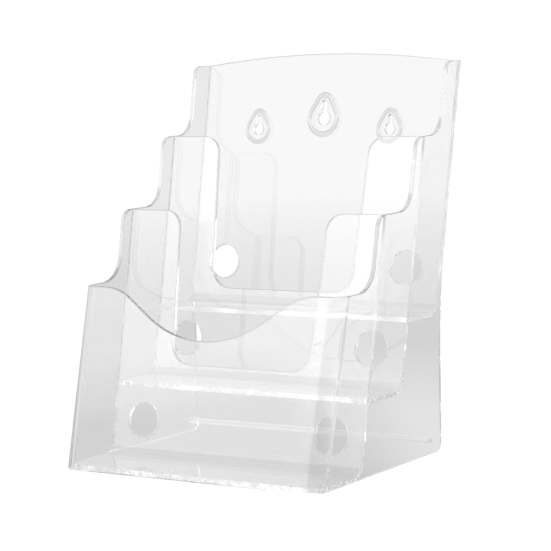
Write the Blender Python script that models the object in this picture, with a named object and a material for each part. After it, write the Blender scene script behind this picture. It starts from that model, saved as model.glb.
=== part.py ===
"""Three-tier brochure rack in clear plastic sheet.

X runs across the rack, the front of the rack faces -Y and Z points up. The rack stands on Z = 0 and is
centred on the origin in X and Y. Lengths are in metres. Depths (the names ending in _Y) are first measured
from the foot of the front panel; the whole rack is moved to the centre at the end.
"""
import math

import bmesh
import bpy
from mathutils import Vector

# Sheet and fits
WALL = 0.0024
GAP = 0.0003
EDGE_ROUND = 0.0005
EDGE_STEPS = 2
ARC_STEP = math.radians(9.0)

# Side walls: outer half width at the table, and outward lean per unit of height
HALF_WIDTH = 0.080
DRAFT = 0.012

# Front panel
FRONT_SLOPE = 0.268
FRONT_TOP = 0.0947
CORNER_RADIUS = 0.009
CORNER_RETURN = 0.001
SCOOP_DEPTH = 0.025
SCOOP_ANGLE = math.radians(34.0)
SCOOP_LOW_RADIUS = 0.062
SCOOP_HIGH_RADIUS = 0.029

# Bent sheets: lower tier, middle tier, back. Front face at the table, floor underside, top edge.
SLOPE = 0.213
SHEET_Y = (0.0419, 0.0763, 0.1073)
FLOOR_Z = (0.0, 0.0370, 0.0735)
SHEET_TOP = (0.1323, 0.1700, 0.2085)
BEND_RADIUS = 0.007
BEND_STEPS = 10
FLOOR_CORNER = 0.0063

# U-shaped cut in the front of the middle and top pockets
CUT_HALF_TOP = (0.0466, 0.0484)
CUT_HALF_LOW = (0.0430, 0.0446)
CUT_LOW_Z = (0.0508, 0.0876)
CUT_TOP_RADIUS = 0.010
CUT_LOW_RADIUS = 0.012

# Round holes in the back of each pocket
HOLE_X = 0.0585
HOLE_Z = (0.0203, 0.0594, 0.0982)
HOLE_RADIUS = 0.0094

# Arched top edge of the back panel
ARCH_RISE = 0.0055
ARCH_STEPS = 24

# Keyholes: across, height of the round opening, scale
KEYHOLES = ((-0.0427, 0.1722, 0.8), (0.0, 0.1781, 1.0), (0.0427, 0.1722, 0.8))
KEY_RISE = 0.0086
KEY_LOW_RADIUS = 0.0039
KEY_SLOT_RADIUS = 0.0017
RIM_LOW_RADIUS = 0.0106
RIM_TOP_RADIUS = 0.0064
RIM_WIDTH = 0.0034
RIM_HEIGHT = 0.0008
RIM_STEPS = 6

# Side panel outline: set-back of each cut edge in front of its sheet, step radii, rear edge
CUT_EDGE_SET = (0.006, 0.008, 0.013)
STEP_LOW_RADIUS = (0.016, 0.014, 0.014)
STEP_HIGH_RADIUS = (0.008, 0.008, 0.007)
REAR_Y = 0.1271
REAR_BLEND_RADIUS = 0.262
REAR_FOOT_RADIUS = 0.004

# Rear tie bar
BAR_Y = 0.1167
BAR_Z = 0.0070
BAR_DEPTH = 0.0040
BAR_HEIGHT = 0.0024
BAR_CORNER = 0.0009

CLEAR = (0.93, 0.95, 0.96, 1.0)
ROUGHNESS = 0.05


def inner_half(z):
    """Distance from the middle of the rack to the inner face of a side wall at height z."""
    return HALF_WIDTH - WALL + DRAFT * z


def clear_start():
    """Remove every object of the open scene."""
    for old in list(bpy.data.objects):
        bpy.data.objects.remove(old, do_unlink=True)


def clear_plastic(name):
    """Principled material of one sub-part."""
    material = bpy.data.materials.new(name + "_plastic")
    material.use_nodes = True
    shader = material.node_tree.nodes["Principled BSDF"]
    shader.inputs["Base Color"].default_value = CLEAR
    shader.inputs["Roughness"].default_value = ROUGHNESS
    shader.inputs["Metallic"].default_value = 0.0
    shader.inputs["IOR"].default_value = 1.49
    shader.inputs["Transmission Weight"].default_value = 0.9
    material.diffuse_color = (CLEAR[0], CLEAR[1], CLEAR[2], 0.35)
    return material


def arc_points(centre, radius, start, sweep, steps):
    """Points along an arc, both ends included."""
    points = []
    for i in range(steps + 1):
        angle = start + sweep * i / steps
        points.append(centre + Vector((math.cos(angle), math.sin(angle))) * radius)
    return points


def rounded_outline(corners):
    """Closed outline through corners given as (u, v, radius, free).

    free says whether the edge that follows the corner is a bare edge of the sheet, which is softened.
    Returns the points and one such flag for the edge after each point.
    """
    points = []
    flags = []
    count = len(corners)
    for i in range(count):
        here = Vector(corners[i][:2])
        radius = corners[i][2]
        free_after = corners[i][3]
        if radius <= 0.0:
            points.append(here)
            flags.append(free_after)
            continue
        back = (Vector(corners[i - 1][:2]) - here).normalized()
        ahead = (Vector(corners[(i + 1) % count][:2]) - here).normalized()
        half = back.angle(ahead) / 2.0
        reach = radius / math.tan(half)
        centre = here + (back + ahead).normalized() * (radius / math.sin(half))
        first = here + back * reach - centre
        last = here + ahead * reach - centre
        start = math.atan2(first.y, first.x)
        sweep = math.atan2(last.y, last.x) - start
        if sweep > math.pi:
            sweep -= 2.0 * math.pi
        if sweep < -math.pi:
            sweep += 2.0 * math.pi
        steps = max(3, math.ceil(abs(sweep) / ARC_STEP))
        free_arc = free_after and corners[i - 1][3]
        arc = arc_points(centre, radius, start, sweep, steps)
        points.extend(arc)
        flags.extend([free_arc] * steps + [free_after])
    return points, flags


def circle_outline(u, v, radius):
    """Round hole outline, every edge bare."""
    steps = 32
    points = arc_points(Vector((u, v)), radius, 0.0, 2.0 * math.pi, steps)[:-1]
    return points, [True] * steps


def signed_area(points):
    total = 0.0
    for i in range(len(points)):
        a = points[i - 1]
        b = points[i]
        total += a.x * b.y - b.x * a.y
    return total / 2.0


def inset_vectors(points, flags, solid_inside):
    """Unit inset of each point: into the sheet from bare edges, along the edge where the next is not bare."""
    sign = 1.0 if (signed_area(points) > 0.0) == solid_inside else -1.0
    count = len(points)
    vectors = []
    for i in range(count):
        along_a = (points[i] - points[i - 1]).normalized()
        along_b = (points[(i + 1) % count] - points[i]).normalized()
        normal_a = Vector((-along_a.y, along_a.x)) * sign
        normal_b = Vector((-along_b.y, along_b.x)) * sign
        depth_a = 1.0 if flags[i - 1] else 0.0
        depth_b = 1.0 if flags[i] else 0.0
        det = normal_a.x * normal_b.y - normal_a.y * normal_b.x
        if abs(det) < 0.01:
            vectors.append((normal_a + normal_b).normalized() * max(depth_a, depth_b))
            continue
        du = (depth_a * normal_b.y - depth_b * normal_a.y) / det
        dv = (normal_a.x * depth_b - normal_b.x * depth_a) / det
        vectors.append(Vector((du, dv)))
    return vectors


def edge_rings(low, high):
    """Levels through the thickness with the inset at each, for a softened edge."""
    rings = []
    for j in range(EDGE_STEPS + 1):
        angle = math.pi / 2.0 * j / EDGE_STEPS
        rings.append((low + EDGE_ROUND * (1.0 - math.cos(angle)), EDGE_ROUND * (1.0 - math.sin(angle))))
    mirrored = [(high + low - level, inset) for level, inset in reversed(rings)]
    return rings + mirrored


def add_ring(bm, points, level):
    return [bm.verts.new((p.x, p.y, level)) for p in points]


def join_rings(bm, lower, upper):
    """Band of four-sided faces between two rings of the same length."""
    count = len(lower)
    for i in range(count):
        k = (i + 1) % count
        bm.faces.new((lower[i], lower[k], upper[k], upper[i]))


def fill_between(bm, rings):
    """Flat cap bounded by the outer ring and the rings of its holes."""
    edges = []
    for ring in rings:
        for i in range(len(ring)):
            edge = bm.edges.get((ring[i - 1], ring[i]))
            if edge is None:
                edge = bm.edges.new((ring[i - 1], ring[i]))
            edges.append(edge)
    bmesh.ops.triangle_fill(bm, use_beauty=True, use_dissolve=False, edges=edges, normal=(0.0, 0.0, 1.0))


def plate(outer, holes, low, high, keyholes=()):
    """Flat sheet between two levels, with round holes and rimmed keyholes."""
    bm = bmesh.new()
    lower_caps = []
    upper_caps = []
    for number, (points, flags) in enumerate([outer] + list(holes)):
        insets = inset_vectors(points, flags, number == 0)
        previous = None
        for level, inset in edge_rings(low, high):
            moved = [p + d * inset for p, d in zip(points, insets)]
            ring = add_ring(bm, moved, level)
            if previous is None:
                lower_caps.append(ring)
            else:
                join_rings(bm, previous, ring)
            previous = ring
        upper_caps.append(previous)
    for keyhole in keyholes:
        lower_ring, upper_ring = rimmed_keyhole(bm, keyhole, low, high)
        lower_caps.append(lower_ring)
        upper_caps.append(upper_ring)
    fill_between(bm, lower_caps)
    fill_between(bm, upper_caps)
    return bm


def teardrop(u, v, low_radius, top_radius, rise, low_gap, top_span):
    """Outline of a large round end below and a small one above, joined by straight sides."""
    low_steps = 22
    top_steps = 10
    points = []
    for i in range(low_steps + 1):
        angle = low_gap + (2.0 * math.pi - 2.0 * low_gap) * i / low_steps
        points.append(Vector((u + low_radius * math.sin(angle), v + low_radius * math.cos(angle))))
    for i in range(top_steps + 1):
        angle = -top_span + 2.0 * top_span * i / top_steps
        points.append(Vector((u + top_radius * math.sin(angle), v + rise + top_radius * math.cos(angle))))
    return points


def rimmed_keyhole(bm, keyhole, low, high):
    """Keyhole through the sheet, inside a raised rounded rim on the upper face."""
    u, v, scale = keyhole
    rise = KEY_RISE * scale
    slot = KEY_SLOT_RADIUS * scale
    opening = KEY_LOW_RADIUS * scale
    rim_low = RIM_LOW_RADIUS * scale
    rim_top = RIM_TOP_RADIUS * scale
    lean = math.acos((rim_low - rim_top) / rise)
    hole = teardrop(u, v, opening, slot, rise, math.asin(slot / opening), math.pi / 2.0)
    rings = [add_ring(bm, hole, low), add_ring(bm, hole, high)]
    for i in range(RIM_STEPS + 1):
        share = i / RIM_STEPS
        inset = RIM_WIDTH * scale * (1.0 - share)
        level = high + RIM_HEIGHT * (1.0 - math.cos(2.0 * math.pi * share)) / 2.0
        outline = teardrop(u, v, rim_low - inset, rim_top - inset, rise, lean, lean)
        rings.append(add_ring(bm, outline, level))
    for below, above in zip(rings[:-1], rings[1:]):
        join_rings(bm, below, above)
    return rings[0], rings[-1]


def split_at(bm, axis, places):
    """Cut the sheet across at each place along u (axis 0) or v (axis 1), ready to be bent there."""
    normal = [0.0, 0.0, 0.0]
    normal[axis] = 1.0
    for place in places:
        point = [0.0, 0.0, 0.0]
        point[axis] = place
        geometry = bm.verts[:] + bm.edges[:] + bm.faces[:]
        bmesh.ops.bisect_plane(bm, geom=geometry, dist=1.0e-7, plane_co=point, plane_no=normal)


def finish(name, bm, shape):
    """Bend the flat sheet into place, and make it a named object with its own material."""
    for vert in bm.verts:
        vert.co = shape(vert.co.x, vert.co.y, vert.co.z)
    bmesh.ops.recalc_face_normals(bm, faces=bm.faces[:])
    if bm.calc_volume(signed=True) < 0.0:
        bmesh.ops.reverse_faces(bm, faces=bm.faces[:])
    mesh = bpy.data.meshes.new(name)
    bm.to_mesh(mesh)
    bm.free()
    mesh.shade_smooth()
    mesh.set_sharp_from_angle(angle=math.radians(25.0))
    mesh.materials.append(clear_plastic(name))
    part = bpy.data.objects.new(name, mesh)
    bpy.context.scene.collection.objects.link(part)
    return part


def side_panel(name, side):
    """Stepped side wall. side is -1 on the left and 1 on the right."""
    seam = CORNER_RADIUS + CORNER_RETURN + GAP
    face_lines = (SHEET_Y[0], SHEET_Y[1], SHEET_Y[2])
    levels = (FRONT_TOP,) + SHEET_TOP
    corners = [(seam, 0.0, 0.0, False), (seam + FRONT_SLOPE * FRONT_TOP, FRONT_TOP, 0.0, True)]
    for i in range(3):
        line = face_lines[i] - CUT_EDGE_SET[i]
        corners.append((line + SLOPE * levels[i], levels[i], STEP_LOW_RADIUS[i], True))
        corners.append((line + SLOPE * levels[i + 1], levels[i + 1], STEP_HIGH_RADIUS[i], True))
    rear_line = SHEET_Y[2] + WALL * math.hypot(1.0, SLOPE)
    corners.append((rear_line + SLOPE * levels[3], levels[3], 0.0, True))
    corners.append((REAR_Y, (REAR_Y - rear_line) / SLOPE, REAR_BLEND_RADIUS, True))
    corners.append((REAR_Y, 0.0, REAR_FOOT_RADIUS, True))
    bm = plate(rounded_outline(corners), [], 0.0, WALL)

    def shape(u, v, n):
        return Vector((side * (inner_half(v) + n), u, v))

    return finish(name, bm, shape)


def scoop_corners():
    """Points of the scooped top edge from right to left, as arcs and straight flanks."""
    low_reach = SCOOP_LOW_RADIUS * math.sin(SCOOP_ANGLE)
    high_reach = SCOOP_HIGH_RADIUS * math.sin(SCOOP_ANGLE)
    arc_drop = (SCOOP_LOW_RADIUS + SCOOP_HIGH_RADIUS) * (1.0 - math.cos(SCOOP_ANGLE))
    flank = (SCOOP_DEPTH - arc_drop) / math.tan(SCOOP_ANGLE)
    half = low_reach + flank + high_reach
    up = math.pi / 2.0
    steps = 7
    high_centre = Vector((half, FRONT_TOP - SCOOP_HIGH_RADIUS))
    right = arc_points(high_centre, SCOOP_HIGH_RADIUS, up, SCOOP_ANGLE, steps)
    low_centre = Vector((0.0, FRONT_TOP - SCOOP_DEPTH + SCOOP_LOW_RADIUS))
    middle = arc_points(low_centre, SCOOP_LOW_RADIUS, -up + SCOOP_ANGLE, -2.0 * SCOOP_ANGLE, 2 * steps)
    left = [Vector((-p.x, p.y)) for p in reversed(right)]
    return [(p.x, p.y, 0.0, True) for p in right + middle + left]


def front_panel(name):
    """Leaning front with the scooped top, bent round both front corners."""
    flat = HALF_WIDTH - CORNER_RADIUS
    bend = CORNER_RADIUS * math.pi / 2.0
    end = flat + bend + CORNER_RETURN
    corners = [(-end, 0.0, 0.0, True), (end, 0.0, 0.0, False), (end, FRONT_TOP, 0.0, True)]
    corners += scoop_corners()
    corners.append((-end, FRONT_TOP, 0.0, False))
    bm = plate(rounded_outline(corners), [], 0.0, WALL)
    places = [flat + bend * i / BEND_STEPS for i in range(BEND_STEPS + 1)]
    split_at(bm, 0, places + [-p for p in places])

    def shape(u, v, n):
        side = 1.0 if u > 0.0 else -1.0
        run = abs(u)
        width = HALF_WIDTH + DRAFT * v
        foot = FRONT_SLOPE * v
        if run <= flat:
            return Vector((u * (width - CORNER_RADIUS) / flat, foot + n, v))
        if run >= flat + bend:
            return Vector((side * (width - n), foot + CORNER_RADIUS + run - flat - bend, v))
        turn = (run - flat) / CORNER_RADIUS
        reach = CORNER_RADIUS - n
        across = width - CORNER_RADIUS + reach * math.sin(turn)
        return Vector((side * across, foot + CORNER_RADIUS - reach * math.cos(turn), v))

    return finish(name, bm, shape)


class BentSheet:
    """One sheet that is a pocket's floor and back: distances along it, measured on the pocket side."""

    def __init__(self, index):
        self.lean = math.atan(SLOPE)
        self.turn = math.pi / 2.0 - self.lean
        self.face = SHEET_Y[index]
        self.floor_top = FLOOR_Z[index] + WALL
        if index == 0:
            self.end_slope = FRONT_SLOPE
            wall_ahead = WALL
        else:
            self.end_slope = SLOPE
            wall_ahead = SHEET_Y[index - 1] + WALL * math.hypot(1.0, SLOPE)
        self.start = wall_ahead + self.end_slope * self.floor_top + GAP
        self.reach = BEND_RADIUS * math.tan(self.turn / 2.0)
        corner = self.face + SLOPE * self.floor_top
        self.floor_run = corner - self.reach - self.start
        self.wall_from = self.floor_run + BEND_RADIUS * self.turn

    def along(self, z):
        """Distance along the sheet of a height z on its upright part."""
        return self.wall_from + (z - self.floor_top) / math.cos(self.lean) - self.reach

    def half(self, z):
        return inner_half(z) - GAP

    def shape(self, u, v, n):
        """Place a point of the flat sheet: u across, v along the sheet, n out of its pocket side."""
        if v <= self.floor_run:
            share = 1.0 - v / self.floor_run
            return Vector((u, self.start + v + self.end_slope * n * share, self.floor_top + n))
        centre_y = self.start + self.floor_run
        centre_z = self.floor_top + BEND_RADIUS
        turn = min((v - self.floor_run) / BEND_RADIUS, self.turn)
        radius = BEND_RADIUS - n
        y = centre_y + radius * math.sin(turn)
        z = centre_z - radius * math.cos(turn)
        beyond = max(0.0, v - self.wall_from)
        return Vector((u, y + beyond * math.sin(self.lean), z + beyond * math.cos(self.lean)))

    def bend_places(self):
        return [self.floor_run + BEND_RADIUS * self.turn * i / BEND_STEPS for i in range(BEND_STEPS + 1)]


def sheet_sides(sheet, top, floor_corner):
    """Corners up the right-hand side of a bent sheet, from the front of its floor to its top edge."""
    low = sheet.half(sheet.floor_top)
    bend_top = sheet.half(sheet.floor_top + sheet.reach)
    return [
        (low, 0.0, floor_corner, False),
        (low, sheet.floor_run, 0.0, False),
        (bend_top, sheet.wall_from, 0.0, False),
        (sheet.half(top), sheet.along(top), 0.0, True),
    ]


def mirrored(corners):
    """The same corners on the left, in reverse order, each with the flag of the edge that now follows it."""
    flipped = []
    for i in range(len(corners) - 1, -1, -1):
        u, v, radius, free = corners[i]
        following = corners[i - 1][3] if i > 0 else False
        flipped.append((-u, v, radius, following))
    return flipped


def sheet_holes(sheet, index):
    v = sheet.along(HOLE_Z[index])
    return [circle_outline(-HOLE_X, v, HOLE_RADIUS), circle_outline(HOLE_X, v, HOLE_RADIUS)]


def tier_panel(name, index):
    """Floor and back of one pocket, carried up as the U-cut front of the next."""
    sheet = BentSheet(index)
    top = SHEET_TOP[index]
    right = sheet_sides(sheet, top, FLOOR_CORNER if index == 0 else 0.0)
    right.append((CUT_HALF_TOP[index], sheet.along(top), CUT_TOP_RADIUS, True))
    right.append((CUT_HALF_LOW[index], sheet.along(CUT_LOW_Z[index]), CUT_LOW_RADIUS, True))
    outer = rounded_outline(right + mirrored(right))
    bm = plate(outer, sheet_holes(sheet, index), -WALL, 0.0)
    split_at(bm, 1, sheet.bend_places())
    return finish(name, bm, sheet.shape)


def back_panel(name):
    """Floor and back of the top pocket, with the arched top edge and the three keyholes."""
    sheet = BentSheet(2)
    top = SHEET_TOP[2]
    right = sheet_sides(sheet, top, 0.0)
    half = sheet.half(top)
    radius = (half * half + ARCH_RISE * ARCH_RISE) / (2.0 * ARCH_RISE)
    centre = Vector((0.0, sheet.along(top) + ARCH_RISE - radius))
    spread = math.asin(half / radius)
    arch = arc_points(centre, radius, math.pi / 2.0 - spread, 2.0 * spread, ARCH_STEPS)[1:-1]
    left = mirrored(right)
    corners = right + [(p.x, p.y, 0.0, True) for p in arch] + left
    keyholes = [(x, sheet.along(z), scale) for x, z, scale in KEYHOLES]
    bm = plate(rounded_outline(corners), sheet_holes(sheet, 2), -WALL, 0.0, keyholes)
    split_at(bm, 1, sheet.bend_places())
    return finish(name, bm, sheet.shape)


def tie_bar(name):
    """Thin bar between the side walls, near the rear foot."""
    half_depth = BAR_DEPTH / 2.0
    half_height = BAR_HEIGHT / 2.0
    corners = [
        (BAR_Y - half_depth, BAR_Z - half_height, BAR_CORNER, False),
        (BAR_Y + half_depth, BAR_Z - half_height, BAR_CORNER, False),
        (BAR_Y + half_depth, BAR_Z + half_height, BAR_CORNER, False),
        (BAR_Y - half_depth, BAR_Z + half_height, BAR_CORNER, False),
    ]
    points, flags = rounded_outline(corners)
    bm = bmesh.new()
    left = add_ring(bm, points, -1.0)
    right = add_ring(bm, points, 1.0)
    join_rings(bm, left, right)
    bm.faces.new(left)
    bm.faces.new(right)

    def shape(u, v, n):
        return Vector((n * (inner_half(v) - GAP), u, v))

    return finish(name, bm, shape)


def centre_rack(parts):
    """Move the rack so that the middle of its depth is at Y = 0."""
    depths = [v.co.y for part in parts for v in part.data.vertices]
    middle = (min(depths) + max(depths)) / 2.0
    for part in parts:
        part.location.y = -middle


clear_start()
rack = [
    side_panel("left_side_panel", -1.0),
    side_panel("right_side_panel", 1.0),
    front_panel("front_panel"),
    tier_panel("lower_tier_panel", 0),
    tier_panel("middle_tier_panel", 1),
    back_panel("back_panel"),
    tie_bar("rear_tie_bar"),
]
centre_rack(rack)
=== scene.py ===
"""Looks of the three-tier brochure rack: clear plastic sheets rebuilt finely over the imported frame."""

import math

import bmesh
import bpy
from mathutils import Matrix, Vector


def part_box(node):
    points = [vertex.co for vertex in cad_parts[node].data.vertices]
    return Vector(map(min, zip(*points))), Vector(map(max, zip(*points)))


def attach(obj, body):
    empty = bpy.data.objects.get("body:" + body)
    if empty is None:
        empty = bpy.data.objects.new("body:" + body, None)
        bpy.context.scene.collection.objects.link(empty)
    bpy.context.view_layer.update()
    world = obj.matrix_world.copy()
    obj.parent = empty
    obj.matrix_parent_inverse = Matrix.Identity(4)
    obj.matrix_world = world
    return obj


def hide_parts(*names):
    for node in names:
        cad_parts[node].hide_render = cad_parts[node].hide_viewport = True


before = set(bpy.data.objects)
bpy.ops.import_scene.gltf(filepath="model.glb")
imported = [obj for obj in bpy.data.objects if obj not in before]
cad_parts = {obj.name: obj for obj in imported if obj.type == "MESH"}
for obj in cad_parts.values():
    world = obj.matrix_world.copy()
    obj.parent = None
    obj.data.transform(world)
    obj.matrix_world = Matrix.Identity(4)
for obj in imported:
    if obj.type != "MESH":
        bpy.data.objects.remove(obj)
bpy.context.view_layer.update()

# Sheet and fits, in metres
WALL = 0.0024
GAP = 0.0003
EDGE_ROUND = 0.0005
EDGE_STEPS = 4
ARC_STEP = math.radians(3.0)

# Side walls: outer half width at the table, and outward lean per unit of height
HALF_WIDTH = 0.080
DRAFT = 0.012

# Front panel
FRONT_SLOPE = 0.268
FRONT_TOP = 0.0947
CORNER_RADIUS = 0.009
CORNER_RETURN = 0.001
SCOOP_DEPTH = 0.025
SCOOP_ANGLE = math.radians(34.0)
SCOOP_LOW_RADIUS = 0.062
SCOOP_HIGH_RADIUS = 0.029
SCOOP_STEPS = 24

# Bent sheets: lower tier, middle tier, back. Front face at the table, floor underside, top edge.
SLOPE = 0.213
SHEET_Y = (0.0419, 0.0763, 0.1073)
FLOOR_Z = (0.0, 0.0370, 0.0735)
SHEET_TOP = (0.1323, 0.1700, 0.2085)
BEND_RADIUS = 0.007
BEND_STEPS = 30
FLOOR_CORNER = 0.0063

# U-shaped cut in the front of the middle and top pockets
CUT_HALF_TOP = (0.0466, 0.0484)
CUT_HALF_LOW = (0.0430, 0.0446)
CUT_LOW_Z = (0.0508, 0.0876)
CUT_TOP_RADIUS = 0.010
CUT_LOW_RADIUS = 0.012

# Round holes in the back of each pocket
HOLE_X = 0.0585
HOLE_Z = (0.0203, 0.0594, 0.0982)
HOLE_RADIUS = 0.0094
HOLE_STEPS = 96

# Arched top edge of the back panel
ARCH_RISE = 0.0055
ARCH_STEPS = 72

# Keyholes: across, height of the round opening, scale
KEYHOLES = ((-0.0427, 0.1722, 0.8), (0.0, 0.1781, 1.0), (0.0427, 0.1722, 0.8))
KEY_RISE = 0.0086
KEY_LOW_RADIUS = 0.0039
KEY_SLOT_RADIUS = 0.0017
RIM_LOW_RADIUS = 0.0106
RIM_TOP_RADIUS = 0.0064
RIM_WIDTH = 0.0034
RIM_HEIGHT = 0.0008
RIM_STEPS = 16
RIM_LOW_STEPS = 64
RIM_TOP_STEPS = 28

# Side panel outline: set-back of each cut edge in front of its sheet, step radii, rear edge
CUT_EDGE_SET = (0.006, 0.008, 0.013)
STEP_LOW_RADIUS = (0.016, 0.014, 0.014)
STEP_HIGH_RADIUS = (0.008, 0.008, 0.007)
REAR_Y = 0.1271
REAR_BLEND_RADIUS = 0.262
REAR_FOOT_RADIUS = 0.004

# Rear tie bar
BAR_Y = 0.1167
BAR_Z = 0.0070
BAR_DEPTH = 0.0040
BAR_HEIGHT = 0.0024
BAR_CORNER = 0.0009

SHARP_ANGLE = math.radians(40.0)

# Plastic: strengths and noise scales of its tint, haze, ripple and flow lines
INDEX = 1.53
TINT_CLEAR = (0.994, 0.993, 0.994, 1.0)
TINT_SHADED = (0.979, 0.978, 0.982, 1.0)
TINT_SCALE = 9.0
HAZE_SCALE = 34.0
HAZE_LOW = 0.010
HAZE_HIGH = 0.035
RIPPLE_SCALE = 14.0
RIPPLE_STRENGTH = 0.10
RIPPLE_HEIGHT = 0.0006
FLOW_SCALE = 55.0
FLOW_STRETCH = 0.12
FLOW_SHARE = 1.2

# Bonded edges: roughness, its spread over the pits, and the heights between which the pits fade
BOND_PIT_SCALE = 260.0
BOND_EVEN = 0.50
BOND_SPREAD = 0.30
BOND_PITS_UNTIL = 0.05
BOND_EVEN_FROM = 0.10
BOND_PITS_LEFT = 0.3

# Studio: what the camera sees directly, and what lights the plastic
FLOOR_SIZE = 60.0
FLOOR_DROP = 0.0003
WHITE = 1.05
# Floor where it lights the plastic: painted shadow in front of and left of the rack, brighter painted light
# behind it to the right, evening out further off
FLOOR_MID_FROM = 0.15
FLOOR_MID_TO = 0.42
FLOOR_FAR_FROM = 0.60
FLOOR_FAR_TO = 1.90
FLOOR_DIRECTION = (0.8, 0.6, 0.0)
FLOOR_SHADE_UNTIL = 0.02
FLOOR_LIGHT_FROM = 0.09
FLOOR_SHADE = 0.51
FLOOR_LIGHT = 0.78
FLOOR_MID = 0.66
FLOOR_FAR = 0.84
WORLD_FRONT = 1.10
WORLD_REAR = 0.84
CEILING_FROM = 0.45
CEILING = 0.4
LIGHT_TARGET = (0.0, 0.0, 0.1)
KEY_PLACE = (-1.1, -1.7, 0.9)
KEY_SIZE = 1.4
KEY_POWER = 7.6
TOP_PLACE = (-0.1, 0.2, 1.1)
TOP_SIZE = 0.5
TOP_POWER = 2.0

# Camera
CAMERA_PLACE = (0.62555, -0.95549, 0.22412)
CAMERA_AZIMUTH = math.radians(32.841)
CAMERA_PITCH = math.radians(6.343)
CAMERA_ROLL = math.radians(-1.740)
SENSOR = 36.0
LENS = 140.41


def inner_half(z):
    """Distance from the middle of the rack to the inner face of a side wall at height z."""
    return HALF_WIDTH - WALL + DRAFT * z


def arc_points(centre, radius, start, sweep, steps):
    points = []
    for i in range(steps + 1):
        angle = start + sweep * i / steps
        points.append(centre + Vector((math.cos(angle), math.sin(angle))) * radius)
    return points


def rounded_outline(corners):
    """Closed outline through corners given as (u, v, radius, free). Free means that the next edge is bare."""
    points = []
    flags = []
    count = len(corners)
    for i in range(count):
        here = Vector(corners[i][:2])
        radius = corners[i][2]
        free_after = corners[i][3]
        if radius <= 0.0:
            points.append(here)
            flags.append(free_after)
            continue
        back = (Vector(corners[i - 1][:2]) - here).normalized()
        ahead = (Vector(corners[(i + 1) % count][:2]) - here).normalized()
        half = back.angle(ahead) / 2.0
        reach = radius / math.tan(half)
        centre = here + (back + ahead).normalized() * (radius / math.sin(half))
        first = here + back * reach - centre
        last = here + ahead * reach - centre
        start = math.atan2(first.y, first.x)
        sweep = math.atan2(last.y, last.x) - start
        if sweep > math.pi:
            sweep -= 2.0 * math.pi
        if sweep < -math.pi:
            sweep += 2.0 * math.pi
        steps = max(3, math.ceil(abs(sweep) / ARC_STEP))
        free_arc = free_after and corners[i - 1][3]
        points.extend(arc_points(centre, radius, start, sweep, steps))
        flags.extend([free_arc] * steps + [free_after])
    return points, flags


def circle_outline(u, v, radius):
    points = arc_points(Vector((u, v)), radius, 0.0, 2.0 * math.pi, HOLE_STEPS)[:-1]
    return points, [True] * HOLE_STEPS


def signed_area(points):
    total = 0.0
    for i in range(len(points)):
        a = points[i - 1]
        b = points[i]
        total += a.x * b.y - b.x * a.y
    return total / 2.0


def inset_vectors(points, flags, solid_inside):
    """Unit inset of each point: into the sheet from bare edges, along the edge where the next is not bare."""
    sign = 1.0 if (signed_area(points) > 0.0) == solid_inside else -1.0
    count = len(points)
    vectors = []
    for i in range(count):
        along_a = (points[i] - points[i - 1]).normalized()
        along_b = (points[(i + 1) % count] - points[i]).normalized()
        normal_a = Vector((-along_a.y, along_a.x)) * sign
        normal_b = Vector((-along_b.y, along_b.x)) * sign
        depth_a = 1.0 if flags[i - 1] else 0.0
        depth_b = 1.0 if flags[i] else 0.0
        det = normal_a.x * normal_b.y - normal_a.y * normal_b.x
        if abs(det) < 0.01:
            vectors.append((normal_a + normal_b).normalized() * max(depth_a, depth_b))
            continue
        du = (depth_a * normal_b.y - depth_b * normal_a.y) / det
        dv = (normal_a.x * depth_b - normal_b.x * depth_a) / det
        vectors.append(Vector((du, dv)))
    return vectors


def edge_rings(low, high):
    """Levels through the thickness with the inset at each, for a softened edge."""
    rings = []
    for j in range(EDGE_STEPS + 1):
        angle = math.pi / 2.0 * j / EDGE_STEPS
        rings.append((low + EDGE_ROUND * (1.0 - math.cos(angle)), EDGE_ROUND * (1.0 - math.sin(angle))))
    mirrored_rings = [(high + low - level, inset) for level, inset in reversed(rings)]
    return rings + mirrored_rings


def add_ring(bm, points, level):
    return [bm.verts.new((p.x, p.y, level)) for p in points]


def join_rings(bm, lower, upper, flags=None, seam="bonded"):
    """Faces between two rings: where an edge is not bare, marked bonded, or left out at an open seam."""
    layer = bm.faces.layers.float.get("bonded") or bm.faces.layers.float.new("bonded")
    count = len(lower)
    for i in range(count):
        k = (i + 1) % count
        at_seam = flags is not None and not flags[i]
        if at_seam and seam == "open":
            continue
        face = bm.faces.new((lower[i], lower[k], upper[k], upper[i]))
        face[layer] = 1.0 if at_seam else 0.0


def fill_between(bm, rings):
    """Flat cap bounded by the outer ring and the rings of its holes."""
    edges = []
    for ring in rings:
        for i in range(len(ring)):
            edge = bm.edges.get((ring[i - 1], ring[i]))
            if edge is None:
                edge = bm.edges.new((ring[i - 1], ring[i]))
            edges.append(edge)
    bmesh.ops.triangle_fill(bm, use_beauty=True, use_dissolve=False, edges=edges, normal=(0.0, 0.0, 1.0))


def plate(outer, holes, low, high, keyholes=(), seam="bonded"):
    """Flat sheet between two levels, with round holes and rimmed keyholes."""
    bm = bmesh.new()
    lower_caps = []
    upper_caps = []
    for number, (points, flags) in enumerate([outer] + list(holes)):
        insets = inset_vectors(points, flags, number == 0)
        previous = None
        for level, inset in edge_rings(low, high):
            moved = [p + d * inset for p, d in zip(points, insets)]
            ring = add_ring(bm, moved, level)
            if previous is None:
                lower_caps.append(ring)
            else:
                join_rings(bm, previous, ring, flags, seam)
            previous = ring
        upper_caps.append(previous)
    for keyhole in keyholes:
        lower_ring, upper_ring = rimmed_keyhole(bm, keyhole, low, high)
        lower_caps.append(lower_ring)
        upper_caps.append(upper_ring)
    fill_between(bm, lower_caps)
    fill_between(bm, upper_caps)
    return bm


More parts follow.
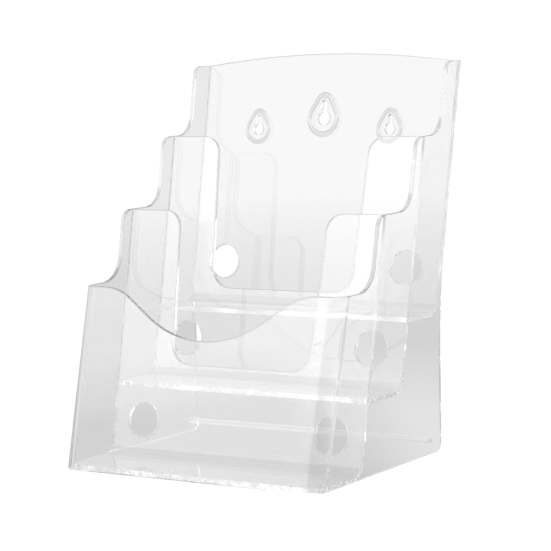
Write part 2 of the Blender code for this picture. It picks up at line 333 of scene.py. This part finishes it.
def teardrop(u, v, low_radius, top_radius, rise, low_gap, top_span):
    """Outline of a large round end below and a small one above, joined by straight sides."""
    points = []
    for i in range(RIM_LOW_STEPS + 1):
        angle = low_gap + (2.0 * math.pi - 2.0 * low_gap) * i / RIM_LOW_STEPS
        points.append(Vector((u + low_radius * math.sin(angle), v + low_radius * math.cos(angle))))
    for i in range(RIM_TOP_STEPS + 1):
        angle = -top_span + 2.0 * top_span * i / RIM_TOP_STEPS
        points.append(Vector((u + top_radius * math.sin(angle), v + rise + top_radius * math.cos(angle))))
    return points


def rimmed_keyhole(bm, keyhole, low, high):
    """Keyhole through the sheet, inside a raised rounded rim on the upper face."""
    u, v, scale = keyhole
    rise = KEY_RISE * scale
    slot = KEY_SLOT_RADIUS * scale
    opening = KEY_LOW_RADIUS * scale
    rim_low = RIM_LOW_RADIUS * scale
    rim_top = RIM_TOP_RADIUS * scale
    lean = math.acos((rim_low - rim_top) / rise)
    hole = teardrop(u, v, opening, slot, rise, math.asin(slot / opening), math.pi / 2.0)
    rings = [add_ring(bm, hole, low), add_ring(bm, hole, high)]
    for i in range(RIM_STEPS + 1):
        share = i / RIM_STEPS
        inset = RIM_WIDTH * scale * (1.0 - share)
        level = high + RIM_HEIGHT * (1.0 - math.cos(2.0 * math.pi * share)) / 2.0
        outline = teardrop(u, v, rim_low - inset, rim_top - inset, rise, lean, lean)
        rings.append(add_ring(bm, outline, level))
    for below, above in zip(rings[:-1], rings[1:]):
        join_rings(bm, below, above)
    return rings[0], rings[-1]


def split_at(bm, axis, places):
    normal = [0.0, 0.0, 0.0]
    normal[axis] = 1.0
    for place in places:
        point = [0.0, 0.0, 0.0]
        point[axis] = place
        geometry = bm.verts[:] + bm.edges[:] + bm.faces[:]
        bmesh.ops.bisect_plane(bm, geom=geometry, dist=1.0e-7, plane_co=point, plane_no=normal)


def foot_of_front():
    """Where the front panel stands on the table: depths are measured from it."""
    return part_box("front_panel")[0].y


def finish_piece(name, node, bm, shape, material):
    """Bend the flat sheet into place, and make it a piece that stands for its CAD node."""
    shift = foot_of_front()
    for vert in bm.verts:
        vert.co = shape(vert.co.x, vert.co.y, vert.co.z)
        vert.co.y += shift
    bmesh.ops.recalc_face_normals(bm, faces=bm.faces[:])
    if bm.calc_volume(signed=True) < 0.0:
        bmesh.ops.reverse_faces(bm, faces=bm.faces[:])
    mesh = bpy.data.meshes.new(name)
    bm.to_mesh(mesh)
    bm.free()
    mesh.shade_smooth()
    mesh.set_sharp_from_angle(angle=SHARP_ANGLE)
    mesh.materials.append(material)
    piece = bpy.data.objects.new(name, mesh)
    bpy.context.scene.collection.objects.link(piece)
    weighted = piece.modifiers.new("flat_faces_stay_flat", "WEIGHTED_NORMAL")
    weighted.mode = "FACE_AREA"
    weighted.keep_sharp = True
    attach(piece, "root")
    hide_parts(node)
    return piece


def side_panel(name, node, side, material):
    """Stepped side wall. side is -1 on the left and 1 on the right."""
    seam = CORNER_RADIUS + CORNER_RETURN
    levels = (FRONT_TOP,) + SHEET_TOP
    corners = [(seam, 0.0, 0.0, False), (seam + FRONT_SLOPE * FRONT_TOP, FRONT_TOP, 0.0, True)]
    for i in range(3):
        line = SHEET_Y[i] - CUT_EDGE_SET[i]
        corners.append((line + SLOPE * levels[i], levels[i], STEP_LOW_RADIUS[i], True))
        corners.append((line + SLOPE * levels[i + 1], levels[i + 1], STEP_HIGH_RADIUS[i], True))
    rear_line = SHEET_Y[2] + WALL * math.hypot(1.0, SLOPE)
    corners.append((rear_line + SLOPE * levels[3], levels[3], 0.0, True))
    corners.append((REAR_Y, (REAR_Y - rear_line) / SLOPE, REAR_BLEND_RADIUS, True))
    corners.append((REAR_Y, 0.0, REAR_FOOT_RADIUS, True))
    bm = plate(rounded_outline(corners), [], 0.0, WALL, seam="open")

    def shape(u, v, n):
        return Vector((side * (inner_half(v) + n), u, v))

    return finish_piece(name, node, bm, shape, material)


def scoop_corners():
    """Points of the scooped top edge from right to left, as arcs and straight flanks."""
    low_reach = SCOOP_LOW_RADIUS * math.sin(SCOOP_ANGLE)
    high_reach = SCOOP_HIGH_RADIUS * math.sin(SCOOP_ANGLE)
    arc_drop = (SCOOP_LOW_RADIUS + SCOOP_HIGH_RADIUS) * (1.0 - math.cos(SCOOP_ANGLE))
    flank = (SCOOP_DEPTH - arc_drop) / math.tan(SCOOP_ANGLE)
    half = low_reach + flank + high_reach
    up = math.pi / 2.0
    high_centre = Vector((half, FRONT_TOP - SCOOP_HIGH_RADIUS))
    right = arc_points(high_centre, SCOOP_HIGH_RADIUS, up, SCOOP_ANGLE, SCOOP_STEPS)
    low_centre = Vector((0.0, FRONT_TOP - SCOOP_DEPTH + SCOOP_LOW_RADIUS))
    middle = arc_points(
        low_centre, SCOOP_LOW_RADIUS, -up + SCOOP_ANGLE, -2.0 * SCOOP_ANGLE, 2 * SCOOP_STEPS
    )
    left = [Vector((-p.x, p.y)) for p in reversed(right)]
    return [(p.x, p.y, 0.0, True) for p in right + middle + left]


def front_panel(name, node, material):
    """Leaning front with the scooped top, bent round both front corners."""
    flat = HALF_WIDTH - CORNER_RADIUS
    bend = CORNER_RADIUS * math.pi / 2.0
    end = flat + bend + CORNER_RETURN
    corners = [(-end, 0.0, 0.0, True), (end, 0.0, 0.0, False), (end, FRONT_TOP, 0.0, True)]
    corners += scoop_corners()
    corners.append((-end, FRONT_TOP, 0.0, False))
    bm = plate(rounded_outline(corners), [], 0.0, WALL, seam="open")
    places = [flat + bend * i / BEND_STEPS for i in range(BEND_STEPS + 1)]
    split_at(bm, 0, places + [-p for p in places])

    def shape(u, v, n):
        side = 1.0 if u > 0.0 else -1.0
        run = abs(u)
        width = HALF_WIDTH + DRAFT * v
        foot = FRONT_SLOPE * v
        if run <= flat:
            return Vector((u * (width - CORNER_RADIUS) / flat, foot + n, v))
        if run >= flat + bend:
            return Vector((side * (width - n), foot + CORNER_RADIUS + run - flat - bend, v))
        turn = (run - flat) / CORNER_RADIUS
        reach = CORNER_RADIUS - n
        across = width - CORNER_RADIUS + reach * math.sin(turn)
        return Vector((side * across, foot + CORNER_RADIUS - reach * math.cos(turn), v))

    return finish_piece(name, node, bm, shape, material)


class BentSheet:
    """One sheet that is a pocket's floor and back: distances along it, measured on the pocket side."""

    def __init__(self, index):
        self.lean = math.atan(SLOPE)
        self.turn = math.pi / 2.0 - self.lean
        self.face = SHEET_Y[index]
        self.floor_top = FLOOR_Z[index] + WALL
        if index == 0:
            self.end_slope = FRONT_SLOPE
            wall_ahead = WALL
        else:
            self.end_slope = SLOPE
            wall_ahead = SHEET_Y[index - 1] + WALL * math.hypot(1.0, SLOPE)
        self.start = wall_ahead + self.end_slope * self.floor_top + GAP
        self.reach = BEND_RADIUS * math.tan(self.turn / 2.0)
        corner = self.face + SLOPE * self.floor_top
        self.floor_run = corner - self.reach - self.start
        self.wall_from = self.floor_run + BEND_RADIUS * self.turn

    def along(self, z):
        """Distance along the sheet of a height z on its upright part."""
        return self.wall_from + (z - self.floor_top) / math.cos(self.lean) - self.reach

    def half(self, z):
        return inner_half(z) - GAP

    def shape(self, u, v, n):
        """Place a point of the flat sheet: u across, v along the sheet, n out of its pocket side."""
        if v <= self.floor_run:
            share = 1.0 - v / self.floor_run
            return Vector((u, self.start + v + self.end_slope * n * share, self.floor_top + n))
        centre_y = self.start + self.floor_run
        centre_z = self.floor_top + BEND_RADIUS
        turn = min((v - self.floor_run) / BEND_RADIUS, self.turn)
        radius = BEND_RADIUS - n
        y = centre_y + radius * math.sin(turn)
        z = centre_z - radius * math.cos(turn)
        beyond = max(0.0, v - self.wall_from)
        return Vector((u, y + beyond * math.sin(self.lean), z + beyond * math.cos(self.lean)))

    def bend_places(self):
        return [self.floor_run + BEND_RADIUS * self.turn * i / BEND_STEPS for i in range(BEND_STEPS + 1)]


def sheet_sides(sheet, top, floor_corner):
    """Corners up the right-hand side of a bent sheet, from the front of its floor to its top edge."""
    low = sheet.half(sheet.floor_top)
    bend_top = sheet.half(sheet.floor_top + sheet.reach)
    return [
        (low, 0.0, floor_corner, False),
        (low, sheet.floor_run, 0.0, False),
        (bend_top, sheet.wall_from, 0.0, False),
        (sheet.half(top), sheet.along(top), 0.0, True),
    ]


def mirrored(corners):
    """The same corners on the left, in reverse order, each with the flag of the edge that now follows it."""
    flipped = []
    for i in range(len(corners) - 1, -1, -1):
        u, v, radius, free = corners[i]
        following = corners[i - 1][3] if i > 0 else False
        flipped.append((-u, v, radius, following))
    return flipped


def sheet_holes(sheet, index):
    v = sheet.along(HOLE_Z[index])
    return [circle_outline(-HOLE_X, v, HOLE_RADIUS), circle_outline(HOLE_X, v, HOLE_RADIUS)]


def tier_panel(name, node, index, material):
    """Floor and back of one pocket, carried up as the U-cut front of the next."""
    sheet = BentSheet(index)
    top = SHEET_TOP[index]
    right = sheet_sides(sheet, top, FLOOR_CORNER if index == 0 else 0.0)
    right.append((CUT_HALF_TOP[index], sheet.along(top), CUT_TOP_RADIUS, True))
    right.append((CUT_HALF_LOW[index], sheet.along(CUT_LOW_Z[index]), CUT_LOW_RADIUS, True))
    outer = rounded_outline(right + mirrored(right))
    bm = plate(outer, sheet_holes(sheet, index), -WALL, 0.0)
    split_at(bm, 1, sheet.bend_places())
    return finish_piece(name, node, bm, sheet.shape, material)


def back_panel(name, node, material):
    """Floor and back of the top pocket, with the arched top edge and the three keyholes."""
    sheet = BentSheet(2)
    top = SHEET_TOP[2]
    right = sheet_sides(sheet, top, 0.0)
    half = sheet.half(top)
    radius = (half * half + ARCH_RISE * ARCH_RISE) / (2.0 * ARCH_RISE)
    centre = Vector((0.0, sheet.along(top) + ARCH_RISE - radius))
    spread = math.asin(half / radius)
    arch = arc_points(centre, radius, math.pi / 2.0 - spread, 2.0 * spread, ARCH_STEPS)[1:-1]
    corners = right + [(p.x, p.y, 0.0, True) for p in arch] + mirrored(right)
    keyholes = [(x, sheet.along(z), scale) for x, z, scale in KEYHOLES]
    bm = plate(rounded_outline(corners), sheet_holes(sheet, 2), -WALL, 0.0, keyholes)
    split_at(bm, 1, sheet.bend_places())
    return finish_piece(name, node, bm, sheet.shape, material)


def tie_bar(name, node, material):
    """Thin bar between the side walls, near the rear foot."""
    half_depth = BAR_DEPTH / 2.0
    half_height = BAR_HEIGHT / 2.0
    corners = [
        (BAR_Y - half_depth, BAR_Z - half_height, BAR_CORNER, False),
        (BAR_Y + half_depth, BAR_Z - half_height, BAR_CORNER, False),
        (BAR_Y + half_depth, BAR_Z + half_height, BAR_CORNER, False),
        (BAR_Y - half_depth, BAR_Z + half_height, BAR_CORNER, False),
    ]
    points, _flags = rounded_outline(corners)
    bm = bmesh.new()
    left = add_ring(bm, points, -1.0)
    right = add_ring(bm, points, 1.0)
    join_rings(bm, left, right)
    layer = bm.faces.layers.float.get("bonded")
    for ring in (left, right):
        bm.faces.new(ring)[layer] = 1.0

    def shape(u, v, n):
        return Vector((n * (inner_half(v) - GAP), u, v))

    return finish_piece(name, node, bm, shape, material)


def noise(nodes, links, vector, scale, detail):
    texture = nodes.new("ShaderNodeTexNoise")
    texture.inputs["Scale"].default_value = scale
    texture.inputs["Detail"].default_value = detail
    links.new(vector, texture.inputs["Vector"])
    return texture.outputs["Fac"]


def remap(nodes, links, value, from_min, from_max, to_min, to_max):
    node = nodes.new("ShaderNodeMapRange")
    node.inputs["From Min"].default_value = from_min
    node.inputs["From Max"].default_value = from_max
    node.inputs["To Min"].default_value = to_min
    node.inputs["To Max"].default_value = to_max
    links.new(value, node.inputs["Value"])
    return node.outputs["Result"]


def math_node(nodes, links, operation, first, second):
    node = nodes.new("ShaderNodeMath")
    node.operation = operation
    for value, socket in ((first, node.inputs[0]), (second, node.inputs[1])):
        if isinstance(value, float):
            socket.default_value = value
        else:
            links.new(value, socket)
    return node.outputs["Value"]


def blend_to(nodes, links, first, second, share):
    """Value that goes from a socket's value to a number as share rises from 0 to 1."""
    node = nodes.new("ShaderNodeMix")
    node.inputs["B"].default_value = second
    links.new(first, node.inputs["A"])
    links.new(share, node.inputs["Factor"])
    return node.outputs["Result"]


def clear_plastic(name, offset):
    """Clear moulded plastic: faint haze, mould ripple and flow lines, milky and pitted where bonded."""
    material = bpy.data.materials.new(name)
    material.use_nodes = True
    nodes = material.node_tree.nodes
    links = material.node_tree.links
    shader = nodes["Principled BSDF"]
    shader.inputs["Transmission Weight"].default_value = 1.0
    shader.inputs["IOR"].default_value = INDEX
    coords = nodes.new("ShaderNodeTexCoord")
    mapping = nodes.new("ShaderNodeMapping")
    mapping.inputs["Location"].default_value = offset
    links.new(coords.outputs["Object"], mapping.inputs["Vector"])
    vector = mapping.outputs["Vector"]

    tint = nodes.new("ShaderNodeMix")
    tint.data_type = "RGBA"
    tint.inputs["A"].default_value = TINT_CLEAR
    tint.inputs["B"].default_value = TINT_SHADED
    links.new(noise(nodes, links, vector, TINT_SCALE, 3.0), tint.inputs["Factor"])
    links.new(tint.outputs["Result"], shader.inputs["Base Color"])

    rubbed = noise(nodes, links, vector, HAZE_SCALE, 2.0)
    haze = remap(nodes, links, rubbed, 0.45, 0.85, HAZE_LOW, HAZE_HIGH)
    bonded = nodes.new("ShaderNodeAttribute")
    bonded.attribute_name = "bonded"
    grain = noise(nodes, links, vector, BOND_PIT_SCALE, 2.0)
    pits = remap(nodes, links, grain, 0.42, 0.58, -BOND_SPREAD, BOND_SPREAD)
    height = nodes.new("ShaderNodeSeparateXYZ")
    links.new(coords.outputs["Object"], height.inputs["Vector"])
    pitted = remap(nodes, links, height.outputs["Z"], BOND_PITS_UNTIL, BOND_EVEN_FROM, 1.0, BOND_PITS_LEFT)
    uneven = math_node(nodes, links, "MULTIPLY", pits, pitted)
    bond = math_node(nodes, links, "ADD", uneven, BOND_EVEN)
    milky = math_node(nodes, links, "MULTIPLY", bonded.outputs["Fac"], bond)
    links.new(math_node(nodes, links, "ADD", haze, milky), shader.inputs["Roughness"])

    bump = nodes.new("ShaderNodeBump")
    bump.inputs["Strength"].default_value = RIPPLE_STRENGTH
    bump.inputs["Distance"].default_value = RIPPLE_HEIGHT
    stretched = nodes.new("ShaderNodeMapping")
    stretched.inputs["Scale"].default_value = (FLOW_STRETCH, 1.0, 1.0)
    links.new(vector, stretched.inputs["Vector"])
    flow = noise(nodes, links, stretched.outputs["Vector"], FLOW_SCALE, 2.0)
    flow_share = math_node(nodes, links, "MULTIPLY", flow, FLOW_SHARE)
    ripple = noise(nodes, links, vector, RIPPLE_SCALE, 1.0)
    links.new(math_node(nodes, links, "ADD", ripple, flow_share), bump.inputs["Height"])
    links.new(bump.outputs["Normal"], shader.inputs["Normal"])

    passes = nodes.new("ShaderNodeLightPath")
    through = nodes.new("ShaderNodeBsdfTransparent")
    mix = nodes.new("ShaderNodeMixShader")
    output = nodes["Material Output"]
    links.new(passes.outputs["Is Shadow Ray"], mix.inputs["Fac"])
    links.new(shader.outputs["BSDF"], mix.inputs[1])
    links.new(through.outputs["BSDF"], mix.inputs[2])
    links.new(mix.outputs["Shader"], output.inputs["Surface"])
    return material


def studio_floor():
    """Large pale table top: white where it is seen; where it lights the plastic it glows with a painted
    shadow in front of and left of the rack and painted light behind it to the right.
    """
    bm = bmesh.new()
    bmesh.ops.create_grid(bm, x_segments=8, y_segments=8, size=FLOOR_SIZE)
    mesh = bpy.data.meshes.new("studio_floor")
    bm.to_mesh(mesh)
    bm.free()
    floor = bpy.data.objects.new("studio_floor", mesh)
    floor.location.z = -FLOOR_DROP
    bpy.context.scene.collection.objects.link(floor)
    material = bpy.data.materials.new("pale_floor")
    material.use_nodes = True
    nodes = material.node_tree.nodes
    links = material.node_tree.links
    nodes.remove(nodes["Principled BSDF"])
    coords = nodes.new("ShaderNodeTexCoord")
    along = nodes.new("ShaderNodeVectorMath")
    along.operation = "DOT_PRODUCT"
    along.inputs[1].default_value = FLOOR_DIRECTION
    links.new(coords.outputs["Object"], along.inputs[0])
    far = nodes.new("ShaderNodeVectorMath")
    far.operation = "LENGTH"
    links.new(coords.outputs["Object"], far.inputs[0])
    place = along.outputs["Value"]
    # Painted shadow on the floor: dimmer in front of and left of the rack, brighter behind it to the right
    near = remap(nodes, links, place, FLOOR_SHADE_UNTIL, FLOOR_LIGHT_FROM, FLOOR_SHADE, FLOOR_LIGHT)
    reach = far.outputs["Value"]
    to_middle = remap(nodes, links, reach, FLOOR_MID_FROM, FLOOR_MID_TO, 0.0, 1.0)
    middle = blend_to(nodes, links, near, FLOOR_MID, to_middle)
    to_far = remap(nodes, links, reach, FLOOR_FAR_FROM, FLOOR_FAR_TO, 0.0, 1.0)
    whole = blend_to(nodes, links, middle, FLOOR_FAR, to_far)
    lit = nodes.new("ShaderNodeEmission")
    links.new(whole, lit.inputs["Strength"])
    white = nodes.new("ShaderNodeEmission")
    white.inputs["Strength"].default_value = WHITE
    passes = nodes.new("ShaderNodeLightPath")
    mix = nodes.new("ShaderNodeMixShader")
    links.new(passes.outputs["Is Camera Ray"], mix.inputs["Fac"])
    links.new(lit.outputs["Emission"], mix.inputs[1])
    links.new(white.outputs["Emission"], mix.inputs[2])
    links.new(mix.outputs["Shader"], nodes["Material Output"].inputs["Surface"])
    mesh.materials.append(material)
    return floor


def studio_world():
    """Pale room: white where it is seen, softly graded where it lights the plastic."""
    world = bpy.data.worlds.new("studio")
    bpy.context.scene.world = world
    world.use_nodes = True
    nodes = world.node_tree.nodes
    links = world.node_tree.links
    nodes.clear()
    output = nodes.new("ShaderNodeOutputWorld")
    seen = nodes.new("ShaderNodeBackground")
    seen.inputs["Color"].default_value = (1.0, 1.0, 1.0, 1.0)
    seen.inputs["Strength"].default_value = WHITE
    lit = nodes.new("ShaderNodeBackground")
    coords = nodes.new("ShaderNodeTexCoord")
    split = nodes.new("ShaderNodeSeparateXYZ")
    links.new(coords.outputs["Generated"], split.inputs["Vector"])
    sides = remap(nodes, links, split.outputs["Y"], -1.0, 1.0, WORLD_FRONT, WORLD_REAR)
    above = remap(nodes, links, split.outputs["Z"], CEILING_FROM, 1.0, 0.0, CEILING)
    links.new(math_node(nodes, links, "ADD", sides, above), lit.inputs["Strength"])
    passes = nodes.new("ShaderNodeLightPath")
    mix = nodes.new("ShaderNodeMixShader")
    links.new(passes.outputs["Is Camera Ray"], mix.inputs["Fac"])
    links.new(lit.outputs["Background"], mix.inputs[1])
    links.new(seen.outputs["Background"], mix.inputs[2])
    links.new(mix.outputs["Shader"], output.inputs["Surface"])


def softbox(name, place, target, size, power):
    """Square area light facing a point."""
    light = bpy.data.lights.new(name, "AREA")
    light.shape = "SQUARE"
    light.size = size
    light.energy = power
    lamp = bpy.data.objects.new(name, light)
    lamp.location = place
    lamp.rotation_mode = "QUATERNION"
    lamp.rotation_quaternion = (Vector(target) - Vector(place)).to_track_quat("-Z", "Y")
    bpy.context.scene.collection.objects.link(lamp)
    lamp.visible_camera = False
    return lamp


def studio_camera():
    """Long lens, a little above the rack and to its right, rolled by a degree or two."""
    back = Vector(
        (
            math.sin(CAMERA_AZIMUTH) * math.cos(CAMERA_PITCH),
            -math.cos(CAMERA_AZIMUTH) * math.cos(CAMERA_PITCH),
            math.sin(CAMERA_PITCH),
        )
    )
    level_right = Vector((math.cos(CAMERA_AZIMUTH), math.sin(CAMERA_AZIMUTH), 0.0))
    level_up = level_right.cross(-back)
    right = math.cos(CAMERA_ROLL) * level_right + math.sin(CAMERA_ROLL) * level_up
    up = math.cos(CAMERA_ROLL) * level_up - math.sin(CAMERA_ROLL) * level_right
    turn = Matrix((right, up, back)).transposed()
    data = bpy.data.cameras.new("camera")
    data.sensor_width = SENSOR
    data.lens = LENS
    data.clip_start = 0.05
    data.clip_end = 90.0
    camera = bpy.data.objects.new("camera", data)
    camera.matrix_world = Matrix.Translation(Vector(CAMERA_PLACE)) @ turn.to_4x4()
    bpy.context.scene.collection.objects.link(camera)
    bpy.context.scene.camera = camera
    return camera


def light_limits():
    """Enough bounces for light to pass every sheet of the rack."""
    cycles = bpy.context.scene.cycles
    cycles.max_bounces = 96
    cycles.transmission_bounces = 96
    cycles.glossy_bounces = 64
    cycles.diffuse_bounces = 3
    cycles.transparent_max_bounces = 40
    bpy.context.scene.view_settings.view_transform = "Standard"


studio_camera()
side_panel("left_side", "left_side_panel", -1.0, clear_plastic("left_side_plastic", (0.3, 0.1, 0.7)))
side_panel("right_side", "right_side_panel", 1.0, clear_plastic("right_side_plastic", (1.3, 0.4, 0.2)))
front_panel("front", "front_panel", clear_plastic("front_plastic", (2.1, 0.9, 0.5)))
tier_panel("lower_tier", "lower_tier_panel", 0, clear_plastic("lower_tier_plastic", (3.7, 0.2, 0.9)))
tier_panel("middle_tier", "middle_tier_panel", 1, clear_plastic("middle_tier_plastic", (4.2, 0.6, 0.1)))
back_panel("back", "back_panel", clear_plastic("back_plastic", (5.5, 0.8, 0.3)))
tie_bar("tie_bar", "rear_tie_bar", clear_plastic("tie_bar_plastic", (6.4, 0.3, 0.6)))
studio_floor()
studio_world()
softbox("key_softbox", KEY_PLACE, LIGHT_TARGET, KEY_SIZE, KEY_POWER)
softbox("top_softbox", TOP_PLACE, LIGHT_TARGET, TOP_SIZE, TOP_POWER)
light_limits()
